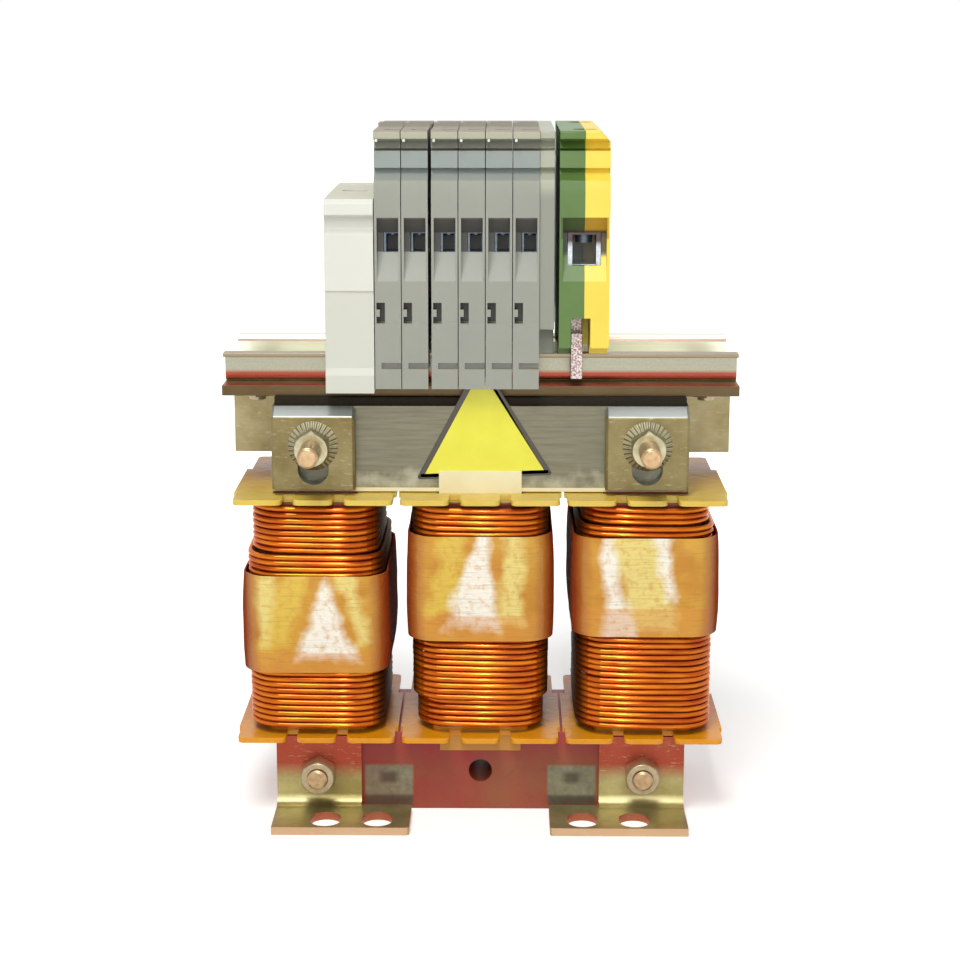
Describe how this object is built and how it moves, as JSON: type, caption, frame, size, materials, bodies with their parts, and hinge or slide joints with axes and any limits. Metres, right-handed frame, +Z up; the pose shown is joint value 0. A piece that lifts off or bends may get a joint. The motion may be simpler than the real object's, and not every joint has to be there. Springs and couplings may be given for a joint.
{
  "type": "motor choke",
  "caption": "Three-phase motor choke: laminated core with amber bobbins and copper coils on slotted steel feet, with a terminal row on a rail above.",
  "frame": {"origin": "middle of the core's footprint on the plane that the feet stand on", "axes": "+X along the core to the right, +Y to the rear away from the front terminal entries, +Z up"},
  "size_m": [0.127, 0.073, 0.1682],
  "materials": {
    "core_varnished": "red varnish over laminated steel, satin",
    "core_bare": "laminated steel under clear varnish, satin",
    "insulating_paper": "matte",
    "black_insulation": "matte",
    "bobbin_plastic": "gloss, slightly translucent",
    "enamelled_copper": "enamelled copper, gloss",
    "winding_tape": "gloss",
    "zinc_steel": "zinc plated, satin",
    "zinc_rail": "zinc plated, bright",
    "zinc_fastener": "zinc plated, bright",
    "terminal_grey": "satin",
    "terminal_metal": "plated, bright",
    "end_plate_beige": "satin",
    "end_block_white": "satin",
    "earth_green": "satin",
    "earth_yellow": "satin"
  },
  "bodies": {
    "root": {"air_gap_sheet": "insulating_paper", "bobbin_centre": "bobbin_plastic", "bobbin_left": "bobbin_plastic", "bobbin_right": "bobbin_plastic", "din_rail": "zinc_rail", "earth_clamp": "terminal_metal", "earth_rail_strap": "terminal_metal", "earth_screws": "zinc_fastener", "earth_terminal_green": "earth_green", "earth_terminal_yellow": "earth_yellow", "end_block": "end_block_white", "end_block_screw": "zinc_fastener", "flange_nut_left": "zinc_fastener", "flange_nut_right": "zinc_fastener", "foot_front_left": "zinc_steel", "foot_front_right": "zinc_steel", "foot_rear_left": "zinc_steel", "foot_rear_right": "zinc_steel", "limb_strip": "insulating_paper", "lower_bolt_left": "zinc_fastener", "lower_bolt_right": "zinc_fastener", "lower_core": "core_varnished", "lower_nut_left": "zinc_fastener", "lower_nut_right": "zinc_fastener", "lower_washer_left": "zinc_fastener", "lower_washer_right": "zinc_fastener", "rail_bracket": "zinc_steel", "rail_nuts": "zinc_fastener", "rail_screws": "zinc_fastener", "spacer_strip": "black_insulation", "tape_centre": "winding_tape", "tape_left": "winding_tape", "tape_right": "winding_tape", "terminal_1": "terminal_grey", "terminal_2": "terminal_grey", "terminal_3": "terminal_grey", "terminal_4": "terminal_grey", "terminal_5": "terminal_grey", "terminal_6": "terminal_grey", "terminal_clamp_1": "terminal_metal", "terminal_clamp_2": "terminal_metal", "terminal_clamp_3": "terminal_metal", "terminal_clamp_4": "terminal_metal", "terminal_clamp_5": "terminal_metal", "terminal_clamp_6": "terminal_metal", "terminal_end_plate": "end_plate_beige", "terminal_screws": "zinc_fastener", "upper_bolt_left": "zinc_fastener", "upper_bolt_right": "zinc_fastener", "upper_washer_left": "zinc_fastener", "upper_washer_right": "zinc_fastener", "upper_yoke": "core_bare", "winding_centre": "enamelled_copper", "winding_left": "enamelled_copper", "winding_right": "enamelled_copper", "yoke_clamp_left": "zinc_steel", "yoke_clamp_right": "zinc_steel"}
  },
  "joints": []
}
